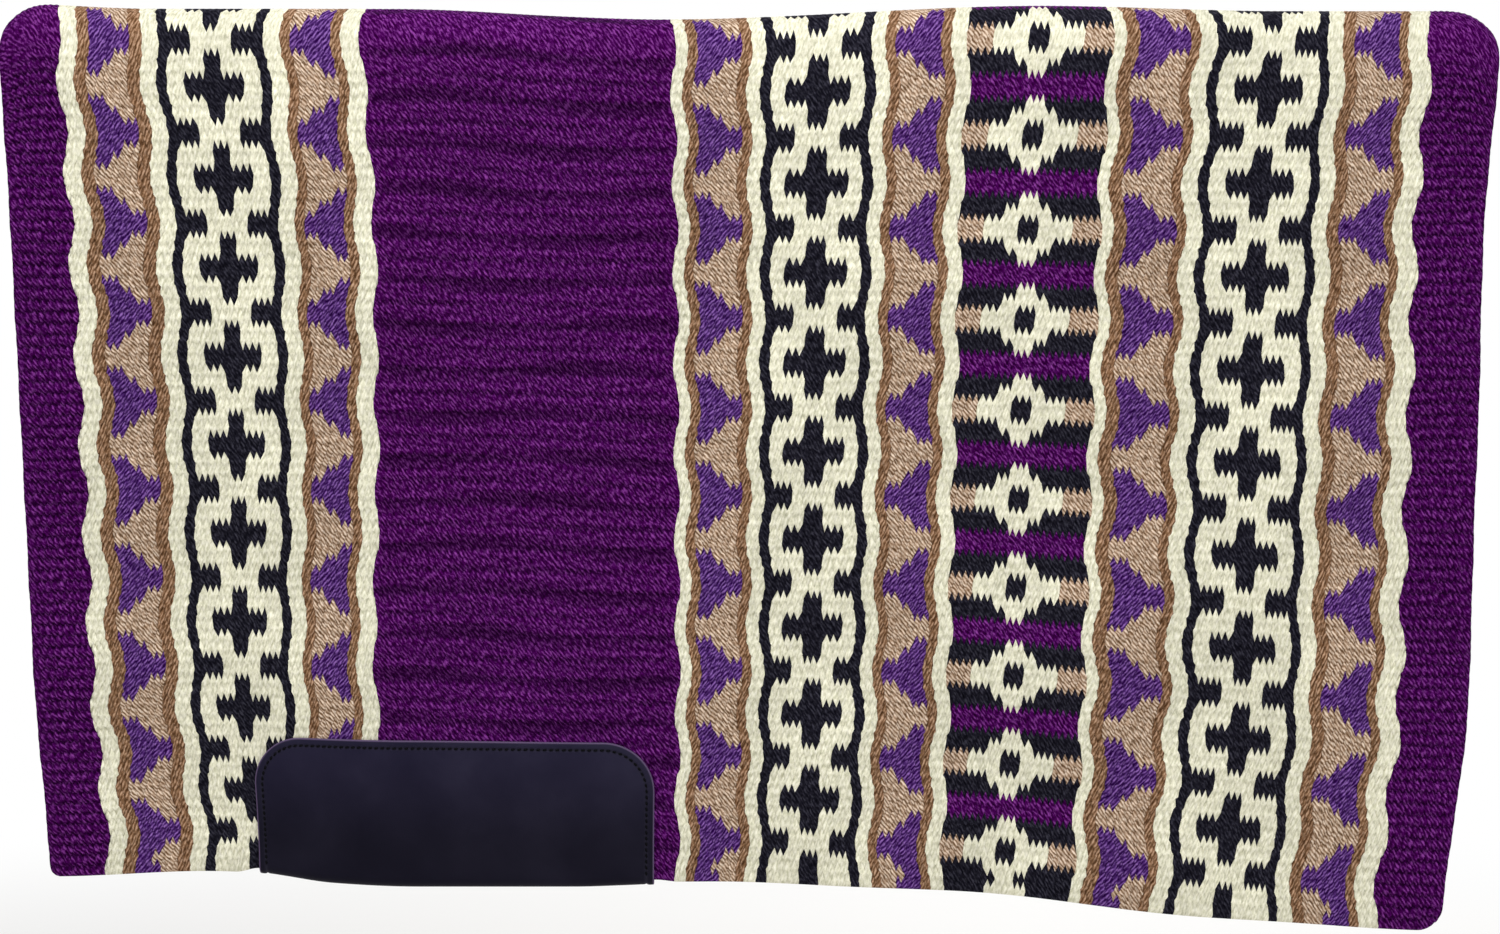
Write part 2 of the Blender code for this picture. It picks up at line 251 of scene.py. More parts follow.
def swing(along, reach):
    """How far a slack fold stands out from the plane of the flap, growing down to the hem."""
    behind = np.sin(pi * FOLDS_BEHIND_LEATHER * (along - FOLDS_BEHIND) / (REAR_EDGE - FOLDS_BEHIND)) ** 2
    ahead = np.sin(pi / 2 * (FOLDS_AHEAD - along) / (FOLDS_AHEAD - FRONT_EDGE)) ** 2
    wave = np.where(along > FOLDS_BEHIND, behind, np.where(along < FOLDS_AHEAD, ahead, 0.0))
    return FOLD_SWING * fallen(reach) ** 2 * wave


def drop(along, reach):
    """How much lower a place hangs than it would on a square cloth."""
    return HEM_DROP * fallen(reach) * ramp((along - FOLDS_BEHIND) / (REAR_EDGE - FOLDS_BEHIND))


def sink(along, reach):
    """How far the fold has sunk past the rail's end, fading out down the flap."""
    past = np.maximum(0.0, (np.abs(along) - (HALF_LENGTH - SINK_WIDTH)) / SINK_WIDTH)
    return SINK_DEPTH * past ** 3 * (1.0 - ramp(reach / SINK_REACH))


def station_shares(at, marks):
    """The share of each station's value at a place, which passes smoothly from one station to the next."""
    numbers = np.arange(len(marks))
    between = np.interp(at, marks, numbers)
    between = np.floor(between) + ramp(between % 1.0)
    return np.maximum(1.0 - np.abs(between[..., None] - numbers), 0.0)


def stray(along, reach):
    """How far a real place on a flap is from the ruled one: along the blanket, outwards and upwards."""
    by_level = station_shares(reach, STRAY_LEVELS)
    by_place = station_shares(along, STRAY_PLACES)
    lean = ((by_level @ np.array(LEAN_ALONG)) * by_place).sum(-1)
    up = ((by_level @ np.array(SETTLE_UP)) * by_place).sum(-1)
    out = sum(size * np.sin(along / length + turn) * np.sin(reach / depth + turn)
              for size, length, depth, turn in SWELLS)
    return lean, out * ramp((reach - FOLD_REACH) / SWELL_FADE), up


def covered(along, reach, fade=COVER_FADE):
    """1 under a wear leather, falling to 0 a little way outside its edge."""
    place = draw_in(along, reach)
    outside = np.maximum(np.abs(place - leather_middle()) - HALF_LEATHER,
                         HALF_CUT - LEATHER_HEIGHT - reach)
    return 1.0 - ramp((outside - COVER_MARGIN) / fade)


def tuck(place, reach):
    """How far a wear leather's lower corners lift, by the place along its own length."""
    size = np.where(place < 0.0, TUCK_FRONT, TUCK_REAR)
    share = ramp(1.0 - (HALF_LEATHER - np.abs(place)) / TUCK_LENGTH)
    return size * share * ramp((reach - HALF_CUT + TUCK_LENGTH) / TUCK_LENGTH)


def pile(along, reach):
    """The cloth's half thickness, pressed in under the leather and rounded off at its edges."""
    half = CLOTH_THICK / 2 - (PRESS_DEPTH + PRESS_SPARE) * covered(along, reach)
    radius = CLOTH_THICK / 2
    for inside in (HALF_CUT - reach, HALF_LENGTH - np.abs(along)):
        near = np.clip(1.0 - inside / radius, 0.0, 1.0)
        half = half * np.sqrt(1.0 - EDGE_FLATTEN_SHARE * near ** 2)
    return half


def round_corner(along, reach):
    """The places near a corner of the hem, drawn in from a square corner to a quarter circle."""
    radius = np.where(along > 0.0, CORNER_REAR, CORNER_FRONT)
    across = np.maximum(radius - (HALF_LENGTH - np.abs(along)), 0.0)
    down = np.maximum(radius - (HALF_CUT - reach), 0.0)
    kept = np.maximum(across, down) / np.maximum(np.hypot(across, down), NEARLY_ZERO)
    return along - np.sign(along) * across * (1.0 - kept), reach - down * (1.0 - kept)


def hang(along, reach, thickness, side):
    """Where a point of the flat cloth hangs, thickness millimetres out from its middle layer."""
    radius = MID_RADIUS + thickness
    angle = np.minimum(reach, FOLD_REACH) / MID_RADIUS
    straight = reach >= FOLD_REACH
    y = radius * np.sin(angle) + np.where(straight, swing(along, reach), 0.0)
    z = radius * np.cos(angle) - RAIL_RADIUS
    z = np.where(straight, FOLD_REACH - reach - RAIL_RADIUS - drop(along, reach), z)
    lean, out, up = stray(along, reach)
    x = draw_in(along, reach)
    up = up + tuck(x - leather_middle(), reach) * covered(along, reach, TUCK_FADE)
    return x + lean, side * (y + out), z - sink(along, reach) + up


def leather_middle():
    """The middle of the leather along the blanket, on the drawn-in cloth under it."""
    return draw_in((LEATHER_FRONT + LEATHER_REAR) / 2, BEND_CENTRE - LEATHER_STRAIGHT / 2)


# The weave

def along_of(column):
    """The place of a pick along the blanket, closer together at the two rounded ends."""
    place = np.interp(column, BAND_PICKS, BAND_PLACES)
    for inside, edge, way in ((column, FRONT_EDGE, 1.0), (PICKS - column, REAR_EDGE, -1.0)):
        span = EASED * (CUT_LENGTH / PICKS)
        eased = span * (1.0 - np.cos(pi / 2 * np.clip(inside / EASED, 0.0, 1.0)))
        place = np.where(inside < EASED, edge + way * eased, place)
    return place


def reach_of(row):
    """How far a row of points is from the spine line, closer together at the rounded hem."""
    left = (ROWS - row) / ROWS_IN_RIB
    eased = WARP_PITCH * (1.0 - np.cos(pi / 2 * np.clip(left, 0.0, 1.0)))
    return np.where(left < 1.0, HALF_CUT - eased, row / ROWS_IN_RIB * WARP_PITCH)


def rib_order(rib, side):
    """A rib's number along the warps, which run on over the spine line from the near side."""
    return rib if side < 0.0 else -1 - rib


def straighten(table, first, column, rib, side):
    """How far a point moves, in picks, so that a line between two colours runs straight over its rib."""
    order = rib_order(rib, side)
    local, last = column - first, table.shape[1] - 1
    rib = np.clip(rib, 0, RIBS - 1)
    own = table[rib, np.minimum(local, last)]
    before = table[rib, np.maximum(local - 1, 0)]
    after = table[rib, np.minimum(local + 1, last)]
    parted = ((column + order) % 2 == 1) & (before != after) & (local > 0) & (local < last)
    forward = np.where(parted & (own == before), 1.0, 0.0)
    back = np.where(parted & (own == after), 1.0, 0.0)
    return STRAIGHTEN * (forward - back)


def field_groove(along, reach):
    """How much of a groove of the plain field runs through a place, from 0 to 1."""
    in_field = ramp((along - FIELD_FRONT + WAVE_SPILL) / WAVE_FADE)
    in_field = in_field * ramp((FIELD_REAR - along + WAVE_SPILL) / WAVE_FADE)
    ribs_down = reach / WARP_PITCH + WANDER * np.sin(along / WANDER_ALONG + reach / WANDER_DOWN)
    turn = (ribs_down - GROOVE_RIB) / WAVE_RIBS
    fade = FADE_MIDDLE + FADE_SIZE * np.sin(along / FADE_ALONG + FADE_TURN * np.rint(turn))
    main = fade * np.cos(pi * turn) ** GROOVE_POWER
    faint = FAINT_SHARE * (2 * FADE_MIDDLE - fade) * np.sin(pi * turn) ** FAINT_POWER
    return in_field * (main + faint)


def weave(table, first, column, row, side):
    """The place of each point of the weave: along, reach, height over the cloth's face, and painted hollow
    shade.
    """
    along = along_of(column)
    reach = reach_of(row)
    step = row % ROWS_IN_RIB
    rib = row // ROWS_IN_RIB
    edge = (row + ROWS_IN_RIB // 2) // ROWS_IN_RIB
    noise = uneven[column, ROWS + np.where(side < 0.0, row, -row)]
    floats = (column + rib_order(rib, side)) % 2 == 0
    height = np.where(floats, np.choose(step, FLOAT_HEIGHTS), np.choose(step, BEHIND_HEIGHTS))
    hollow_shade = np.where(floats, np.choose(step, FLOAT_HOLLOW_SHADES), np.choose(step, BEHIND_HOLLOW_SHADES))
    relief = np.interp(along, ZONE_PLACES, RELIEF_SHARES)
    past_crown = (reach - CROWN_END) / CROWN_FADE
    under = covered(along, reach)
    inside = np.minimum(HALF_CUT - reach, HALF_LENGTH - np.abs(along))
    kept = rise(EDGE_RELIEF, inside / CLOTH_THICK) * rise(CROWN_RELIEF, past_crown)
    groove = field_groove(along, reach)
    height = height * relief * (1.0 + UNEVEN_SHARE * noise[..., 1])
    height = height * (1.0 - (1.0 - COVERED_RELIEF) * under) * kept
    height = height - GROOVE_DEPTH * groove * (1.0 - under) * kept
    # Painted shade darkens the hollows, more where the relief is higher, less at the crown, and in the
    # field's grooves.
    hollow_shade = hollow_shade * (HOLLOW_SHADE_SHARE + HOLLOW_SHADE_BY_RELIEF * relief) * rise(CROWN_HOLLOW_SHADE, past_crown)
    hollow_shade = hollow_shade + GROOVE_SHADE * groove
    # Each tip reaches over the line between two ribs, except at the open end of the warps.
    tip = np.interp(along, ZONE_PLACES, TIP_REACHES) * (1.0 + UNEVEN_SHARE * noise[..., 0])
    tip = tip * np.choose(step, TIP_SHARES) * np.where(edge >= RIBS, 0.0, 1.0)
    way = np.where((column + rib_order(edge, side)) % 2 == 0, -1.0, 1.0)
    repeat = WARPS_IN_REPEAT * WARP_PITCH
    pulled = np.interp(along, PULL_PLACES, PULL_SIZES) * np.cos(2 * pi * reach / repeat)
    shift = np.where(inside < EDGE_STILL, 0.0, UNEVEN_SHIFT * noise[..., 2])
    moved = straighten(table, first, column, rib, side)
    above = straighten(table, first, column, rib - 1, side)
    moved = moved + np.where((step == 0) & (rib > 0), above, 0.0)
    shift = shift + moved * CUT_LENGTH / PICKS
    return along + pulled + shift, reach + way * tip, height, hollow_shade


# The pattern: which yarn each pick is, rib by rib

TRIANGLE, CROSS = "triangle", "cross"
# From the front edge of each cross band to its rear edge, in picks. The last triangle has its base
# at the rear. A cross gives its arms, its upright and the blocks between crosses.
CROSS_BANDS = {
    "front_cross_band": (
        (CREAM, 6), (BROWN, 4), (TRIANGLE, 13), (BROWN, 4), (CREAM, 5), (BLACK, 3), (CROSS, 27, 17, 5, 7),
        (BLACK, 3), (CREAM, 5), (BROWN, 3), (TRIANGLE, 12), (BROWN, 3), (CREAM, 5)),
    "middle_cross_band": (
        (CREAM, 4), (BROWN, 3), (TRIANGLE, 13), (BROWN, 3), (CREAM, 4), (BLACK, 3), (CROSS, 26, 18, 6, 6),
        (BLACK, 3), (CREAM, 4), (BROWN, 3), (TRIANGLE, 13), (BROWN, 3), (CREAM, 4)),
    "rear_cross_band": (
        (CREAM, 4), (BROWN, 4), (TRIANGLE, 15), (BROWN, 3), (CREAM, 5), (BLACK, 3), (CROSS, 30, 20, 6, 8),
        (BLACK, 3), (CREAM, 5), (BROWN, 4), (TRIANGLE, 15), (BROWN, 3), (CREAM, 6)),
}
# Eight ribs from one cross to the next, and then the rib at the hem, where the pattern is cut short.
TRIANGLE_SHARES = (0.0, 0.37, 0.63, 1.0, 1.0, 0.63, 0.37, 0.0, 0.63)
ARM_STEPS = (0, 7)
BLOCK_STEPS = (3, 4)
HEM_STEP = 8
DIAMOND_ROWS = (
    ((PURPLE, 42),),
    ((BLACK, 18), (CREAM, 6), (BLACK, 18)),
    ((BLACK, 14), (CREAM, 14), (BLACK, 14)),
    ((TAN, 8), (CREAM, 10), (BLACK, 6), (CREAM, 10), (TAN, 8)),
)
DIAMOND_HEM = ((BLACK, 14), (CREAM, 14), (BLACK, 14))


def triangle(width, step, base_first):
    """One rib of a stepped triangle on marled tan."""
    violet = round(width * TRIANGLE_SHARES[step])
    picks = [VIOLET] * violet + [TAN] * (width - violet)
    return picks if base_first else picks[::-1]


def cross(width, arms, upright, block, step):
    """One rib of the column of crosses."""
    if step in BLOCK_STEPS:
        return [BLACK] * block + [CREAM] * (width - 2 * block) + [BLACK] * block
    black = arms if step in ARM_STEPS else upright
    before = (width - black) // 2
    return [CREAM] * before + [BLACK] * black + [CREAM] * (width - black - before)


def pattern_row(band, picks, step):
    """The yarns of one rib of a band, from its front edge to its rear edge."""
    if band in CROSS_BANDS:
        row = []
        for lot in CROSS_BANDS[band]:
            if lot[0] == TRIANGLE:
                row += triangle(lot[1], step, len(row) < picks / 2)
            elif lot[0] == CROSS:
                row += cross(*lot[1:], step)
            else:
                row += [lot[0]] * lot[1]
        return row
    if band == "diamond_band":
        lots = DIAMOND_HEM if step == HEM_STEP else DIAMOND_ROWS[min(step, WARPS_IN_REPEAT - 1 - step)]
        return [yarn for yarn, count in lots for _ in range(count)]
    return [PURPLE] * picks


def band_pattern(band, picks):
    """The yarn of each pick over each rib, as one table."""
    steps = [HEM_STEP if rib == RIBS - 1 else rib % WARPS_IN_REPEAT for rib in range(RIBS)]
    return np.array([pattern_row(band, picks, step) for step in steps])


# Materials

def colour(code):
    """An sRGB hex colour as linear light."""
    parts = [int(code[i:i + 2], 16) / 255 for i in (1, 3, 5)]
    return (*[c / 12.92 if c <= 0.04045 else ((c + 0.055) / 1.055) ** 2.4 for c in parts], 1.0)


def add_node(tree, kind, values=None, links=None, **settings):
    """A node with its settings, the values on its sockets, and what is linked to them."""
    made = tree.nodes.new(kind)
    for name, value in settings.items():
        setattr(made, name, value)
    for socket, value in (values or {}).items():
        made.inputs[socket].default_value = value
    for socket, source in (links or {}).items():
        tree.links.new(source, made.inputs[socket])
    return made


def set_ramp(node, stops):
    """Give a colour ramp its stops."""
    elements = node.color_ramp.elements
    while len(elements) < len(stops):
        elements.new(0.5)
    for element, (place, code) in zip(elements, stops):
        element.position = place
        element.color = colour(code)


def new_material(name):
    """An empty material with its Principled shader."""
    made = bpy.data.materials.new(name)
    made.use_nodes = True
    return made, made.node_tree, made.node_tree.nodes["Principled BSDF"]


# The plies cross each float as slanted strokes. Real ones are about 1.2 mm apart; these are drawn a
# little coarser, so that they show.
PLY_PITCH = 1.9
STROKE_WIDTH = 1.35
STROKE_LENGTH = 3.4
PLY_STARTS = 40.0
FIBRE = 0.5
# The shade of the wool changes slowly, in patches about so wide.
WOOL_PATCH = 55.0


def wool_yarn(name, shades, slant, strokes, hollow_shade_share):
    """Plied wool weft: slanted plies show as light and dark strokes, with soft fibre between them."""
    made, tree, shader = new_material(name)
    flat = add_node(tree, "ShaderNodeAttribute", attribute_name="flat")
    hollow_shade = add_node(tree, "ShaderNodeAttribute", attribute_name="hollow_shade")
    strand = add_node(tree, "ShaderNodeAttribute", attribute_name="strand")
    on_cloth = {"Vector": flat.outputs["Vector"]}
    # Each float's plies start at their own turn, so that strokes break off from float to float.
    start = add_node(tree, "ShaderNodeMath", {1: PLY_STARTS}, {0: strand.outputs["Fac"]},
                     operation="MULTIPLY")
    turned = add_node(tree, "ShaderNodeMapping", {"Rotation": (0.0, 0.0, slant)}, on_cloth,
                      vector_type="TEXTURE")
    # At a scale of 1 this pattern has 20 bands in each 2 pi.
    plies = add_node(tree, "ShaderNodeTexWave",
                     {"Scale": 2 * pi / (20.0 * PLY_PITCH * MM), "Distortion": 2.6, "Detail": 1.0,
                      "Detail Scale": 1.6},
                     {"Vector": turned.outputs["Vector"], "Phase Offset": start.outputs[0]})
    stroke = (STROKE_WIDTH * MM, STROKE_LENGTH * MM, 1.0)
    worn_at = add_node(tree, "ShaderNodeMapping", {"Rotation": (0.0, 0.0, slant), "Scale": stroke},
                       on_cloth, vector_type="TEXTURE")
    worn_and_highlit = add_node(tree, "ShaderNodeTexNoise", {"Scale": 1.0, "Detail": 1.0},
                    {"Vector": worn_at.outputs["Vector"]})
    fibres = add_node(tree, "ShaderNodeTexNoise", {"Scale": 1.0 / (FIBRE * MM), "Detail": 2.0}, on_cloth)
    patches = add_node(tree, "ShaderNodeTexNoise", {"Scale": 1.0 / (WOOL_PATCH * MM), "Detail": 2.0},
                       on_cloth)
    frayed = add_node(tree, "ShaderNodeMix", {0: 0.3}, {2: worn_and_highlit.outputs[0], 3: fibres.outputs[0]},
                      data_type="FLOAT")
    spread = add_node(tree, "ShaderNodeMapRange", {"From Min": 0.34, "From Max": 0.66},
                      {"Value": frayed.outputs[0]})
    mixed = add_node(tree, "ShaderNodeMix", {0: strokes}, {2: spread.outputs[0], 3: plies.outputs["Fac"]},
                     data_type="FLOAT")
    tone = add_node(tree, "ShaderNodeValToRGB", links={"Fac": mixed.outputs[0]})
    set_ramp(tone, tuple(zip((0.15, 0.5, 0.88), shades)))
    # Painted shade: each hollow between the floats and each groove of the field is darkened.
    dim = add_node(tree, "ShaderNodeMapRange",
                   {"From Min": 0.35, "From Max": 1.5, "To Min": 1.0, "To Max": 1.0 - hollow_shade_share},
                   {"Value": hollow_shade.outputs["Fac"]}, interpolation_type="SMOOTHSTEP")
    lot = add_node(tree, "ShaderNodeMapRange", {"To Min": 0.93, "To Max": 1.07},
                   {"Value": strand.outputs["Fac"]})
    patch = add_node(tree, "ShaderNodeMapRange",
                     {"From Min": 0.3, "From Max": 0.7, "To Min": 0.92, "To Max": 1.08},
                     {"Value": patches.outputs[0]})
    once = add_node(tree, "ShaderNodeMath", links={0: dim.outputs[0], 1: lot.outputs[0]},
                    operation="MULTIPLY")
    twice = add_node(tree, "ShaderNodeMath", links={0: once.outputs[0], 1: patch.outputs[0]},
                     operation="MULTIPLY")
    shaded = add_node(tree, "ShaderNodeHueSaturation",
                      links={"Color": tone.outputs["Color"], "Value": twice.outputs[0]})
    tree.links.new(shaded.outputs["Color"], shader.inputs["Base Color"])
    rough = add_node(tree, "ShaderNodeMapRange", {"To Min": 0.95, "To Max": 0.78},
                     {"Value": mixed.outputs[0]})
    tree.links.new(rough.outputs[0], shader.inputs["Roughness"])
    bump = add_node(tree, "ShaderNodeBump", {"Strength": 0.6, "Distance": 0.35 * MM},
                    {"Height": mixed.outputs[0]})
    tree.links.new(bump.outputs["Normal"], shader.inputs["Normal"])
    shader.inputs["Specular IOR Level"].default_value = 0.015
    shader.inputs["Sheen Weight"].default_value = 0.04
    shader.inputs["Sheen Roughness"].default_value = 0.5
    shader.inputs["Sheen Tint"].default_value = colour(shades[2])
    return made


# Dyed wool shows a dark ground with lit plies, painted as light strokes over painted shade; undyed cream is
# nearly even; the marled yarns are one light and one dark ply twisted together, so their strokes are their
# own colours.
YARNS = {
    PURPLE: wool_yarn("purple dyed wool", ("#29002F", "#43034F", "#823B8F"), 0.7, 0.3, 0.55),
    CREAM: wool_yarn("undyed cream wool", ("#C6C4A9", "#E0DDC5", "#F1EEDB"), -0.3, 0.2, 0.22),
    BLACK: wool_yarn("black wool", ("#0D0C14", "#1A1922", "#383742"), 0.6, 0.3, 0.45),
    BROWN: wool_yarn("brown marled wool", ("#513621", "#816046", "#BC997E"), -0.45, 0.4, 0.6),
    TAN: wool_yarn("tan marled wool", ("#664B33", "#AB8F77", "#E6D2BE"), 0.75, 0.5, 0.42),
    VIOLET: wool_yarn("violet dyed wool", ("#24023E", "#492667", "#8B62AB"), -0.75, 0.45, 0.52),
}

GRAIN_PITCH = 0.85
LEATHER_PATCH = 38.0
THREAD_TWIST = 0.5


def wear_leather_material():
    """Bridle leather dyed navy black: smooth pressed grain and a soft shine. Highlights are painted along
    its cut edge and its seam, and painted light makes it paler towards its top edge.
    """
    made, tree, shader = new_material("navy black leather")
    flat = add_node(tree, "ShaderNodeAttribute", attribute_name="flat")
    edge = add_node(tree, "ShaderNodeAttribute", attribute_name="edge")
    seam_highlight = add_node(tree, "ShaderNodeAttribute", attribute_name="seam")
    on_strip = {"Vector": flat.outputs["Vector"]}
    parts = add_node(tree, "ShaderNodeSeparateXYZ", links=on_strip)
    from_hem = add_node(tree, "ShaderNodeMath", links={0: parts.outputs["Y"]}, operation="ABSOLUTE")
    mottle = add_node(tree, "ShaderNodeTexNoise", {"Scale": 1.0 / (LEATHER_PATCH * MM), "Detail": 5.0},
                      on_strip)
    tone = add_node(tree, "ShaderNodeValToRGB", links={"Fac": mottle.outputs[0]})
    set_ramp(tone, ((0.3, "#0F0D1B"), (0.5, "#13111F"), (0.72, "#191725")))
    # Painted light from above: the strip is painted darkest at the hem and palest along its top edge.
    painted_top_light = add_node(tree, "ShaderNodeMapRange",
                       {"From Min": 20.0 * MM, "From Max": 88.0 * MM, "To Min": 0.8, "To Max": 2.1},
                       {"Value": from_hem.outputs[0]}, interpolation_type="SMOOTHSTEP")
    painted_lit_tone = add_node(tree, "ShaderNodeHueSaturation",
                     links={"Color": tone.outputs["Color"], "Value": painted_top_light.outputs[0]})
    # Painted highlight: a paler band along the cut edge, where the edge catches the light.
    edge_highlight = add_node(tree, "ShaderNodeMix", {7: colour("#5C4D6A")},
                   {0: edge.outputs["Fac"], 6: painted_lit_tone.outputs["Color"]}, data_type="RGBA")
    # Painted highlight: a paler line along the seam, for the glints of light at the stitch holes.
    worn_and_highlit = add_node(tree, "ShaderNodeMix", {7: colour("#24222F")},
                    {0: seam_highlight.outputs["Fac"], 6: edge_highlight.outputs[2]}, data_type="RGBA")
    tree.links.new(worn_and_highlit.outputs[2], shader.inputs["Base Color"])
    grain = add_node(tree, "ShaderNodeTexVoronoi", {"Scale": 1.0 / (GRAIN_PITCH * MM)}, on_strip,
                     feature="SMOOTH_F1")
    rough = add_node(tree, "ShaderNodeMapRange",
                     {"From Min": 0.3, "From Max": 0.7, "To Min": 0.42, "To Max": 0.55},
                     {"Value": mottle.outputs[0]})
    tree.links.new(rough.outputs[0], shader.inputs["Roughness"])
    bump = add_node(tree, "ShaderNodeBump", {"Strength": 0.35, "Distance": 0.12 * MM},
                    {"Height": grain.outputs[0]})
    tree.links.new(bump.outputs["Normal"], shader.inputs["Normal"])
    shader.inputs["Specular IOR Level"].default_value = 0.06
    return made


def thread_material():
    """Waxed black thread, twisted from fine plies, a little glossier than the leather."""
    made, tree, shader = new_material("waxed black thread")
    place = add_node(tree, "ShaderNodeTexCoord")
    twist = add_node(tree, "ShaderNodeTexNoise", {"Scale": 1.0 / (THREAD_TWIST * MM), "Detail": 2.0},
                     {"Vector": place.outputs["Object"]})
    tone = add_node(tree, "ShaderNodeValToRGB", links={"Fac": twist.outputs[0]})
    set_ramp(tone, ((0.35, "#020203"), (0.65, "#0A0A0F")))
    tree.links.new(tone.outputs["Color"], shader.inputs["Base Color"])
    rough = add_node(tree, "ShaderNodeMapRange", {"To Min": 0.45, "To Max": 0.65},
                     {"Value": twist.outputs[0]})
    tree.links.new(rough.outputs[0], shader.inputs["Roughness"])
    shader.inputs["Specular IOR Level"].default_value = 0.05
    bump = add_node(tree, "ShaderNodeBump", {"Strength": 0.5, "Distance": 0.1 * MM},
                    {"Height": twist.outputs[0]})
    tree.links.new(bump.outputs["Normal"], shader.inputs["Normal"])
    return made


# Pieces

# The patterns of a sheet's outer face are read this far from those of its inner face.
FACES_APART = 9.0
SHARP_ANGLE = radians(78.0)
# The map for baking, in shares of its width: where the outer face, the inner face and the four walls
# start, how wide each is, and the margin round them.
MAP_MARGIN = 0.005
MAP_LENGTH = 0.99
OUTER_WIDTH = 0.615
INNER_START = 0.63
INNER_WIDTH = 0.3
WALLS_START = 0.935
WALL_STEP = 0.015
WALL_MARGIN = 0.004
WALL_WIDTH = 0.008


def closed_grid(name, columns, rows):
    """A flat closed slab, with each point's column and row and whether it is on the outer face."""
    bm = bmesh.new()
    bmesh.ops.create_grid(bm, x_segments=columns, y_segments=rows, size=1.0)
    upper = bmesh.ops.extrude_face_region(bm, geom=bm.faces[:])["geom"]
    raised = [item for item in upper if isinstance(item, bmesh.types.BMVert)]
    bmesh.ops.translate(bm, verts=raised, vec=(0.0, 0.0, 1.0))
    mesh = bpy.data.meshes.new(name)
    bm.to_mesh(mesh)
    bm.free()
    flat = np.empty(len(mesh.vertices) * 3, np.float32)
    mesh.vertices.foreach_get("co", flat)
    flat = flat.reshape(-1, 3)
    column = np.rint((flat[:, 0] + 1.0) / 2 * columns).astype(int)
    row = np.rint((flat[:, 1] + 1.0) / 2 * rows).astype(int)
    return mesh, column, row, flat[:, 2] > 0.5


def flat_places(along, across, outer):
    """Where each point lies on the flat sheet, for its patterns, in metres."""
    return np.stack([along, across, np.where(outer, FACES_APART, 0.0)], 1) * MM


def put(mesh, x, y, z):
    """Set every point's place, in millimetres, and turn the faces outwards."""
    places = np.stack([x, y, z], 1) * MM
    mesh.vertices.foreach_set("co", places.astype(np.float32).ravel())
    mesh.update()
    mesh.calc_loop_triangles()
    corners = np.empty(len(mesh.loop_triangles) * 3, int)
    mesh.loop_triangles.foreach_get("vertices", corners)
    first, second, third = places[corners.reshape(-1, 3)].transpose(1, 0, 2)
    if (first * np.cross(second, third)).sum() < 0.0:
        mesh.flip_normals()


def give(mesh, name, kind, domain, values):
    """Store one attribute on a mesh."""
    made = mesh.attributes.new(name, kind, domain)
    key = "vector" if kind == "FLOAT_VECTOR" else "value"
    made.data.foreach_set(key, np.ascontiguousarray(values, np.float32).ravel())


def face_corners(mesh):
    """The four points of each face."""
    corners = np.empty(len(mesh.loops), int)
    mesh.loops.foreach_get("vertex_index", corners)
    return corners.reshape(-1, 4)


def lay_out(mesh, column, row, outer, columns, rows):
    """A map for baking, with the outer face, the inner face and the four walls side by side."""
    corners = face_corners(mesh)
    across, down = column[corners] / columns, row[corners] / rows
    outside, inside = outer[corners].all(1), ~outer[corners].any(1)
    u = np.where(outside[:, None], MAP_MARGIN + OUTER_WIDTH * across, INNER_START + INNER_WIDTH * across)
    v = MAP_MARGIN + MAP_LENGTH * down
    in_wall = WALL_MARGIN + WALL_WIDTH * outer[corners]
    walls = ((across.max(1) == 0.0, down), (across.min(1) == 1.0, down),
             (down.max(1) == 0.0, across), (down.min(1) == 1.0, across))
    for index, (wall, length) in enumerate(walls):
        wall = (wall & ~outside & ~inside)[:, None]
        u = np.where(wall, WALLS_START + WALL_STEP * index + in_wall, u)
        v = np.where(wall, MAP_MARGIN + MAP_LENGTH * length, v)
    uv_map = mesh.uv_layers.new(name="OFBake")
    uv_map.uv.foreach_set("vector", np.stack([u, v], 2).astype(np.float32).ravel())


def add_piece(name, mesh):
    """Put a finished mesh in the scene as one piece."""
    mesh.shade_smooth()
    mesh.set_sharp_from_angle(angle=SHARP_ANGLE)
    piece = bpy.data.objects.new(name, mesh)
    bpy.context.scene.collection.objects.link(piece)
    return piece


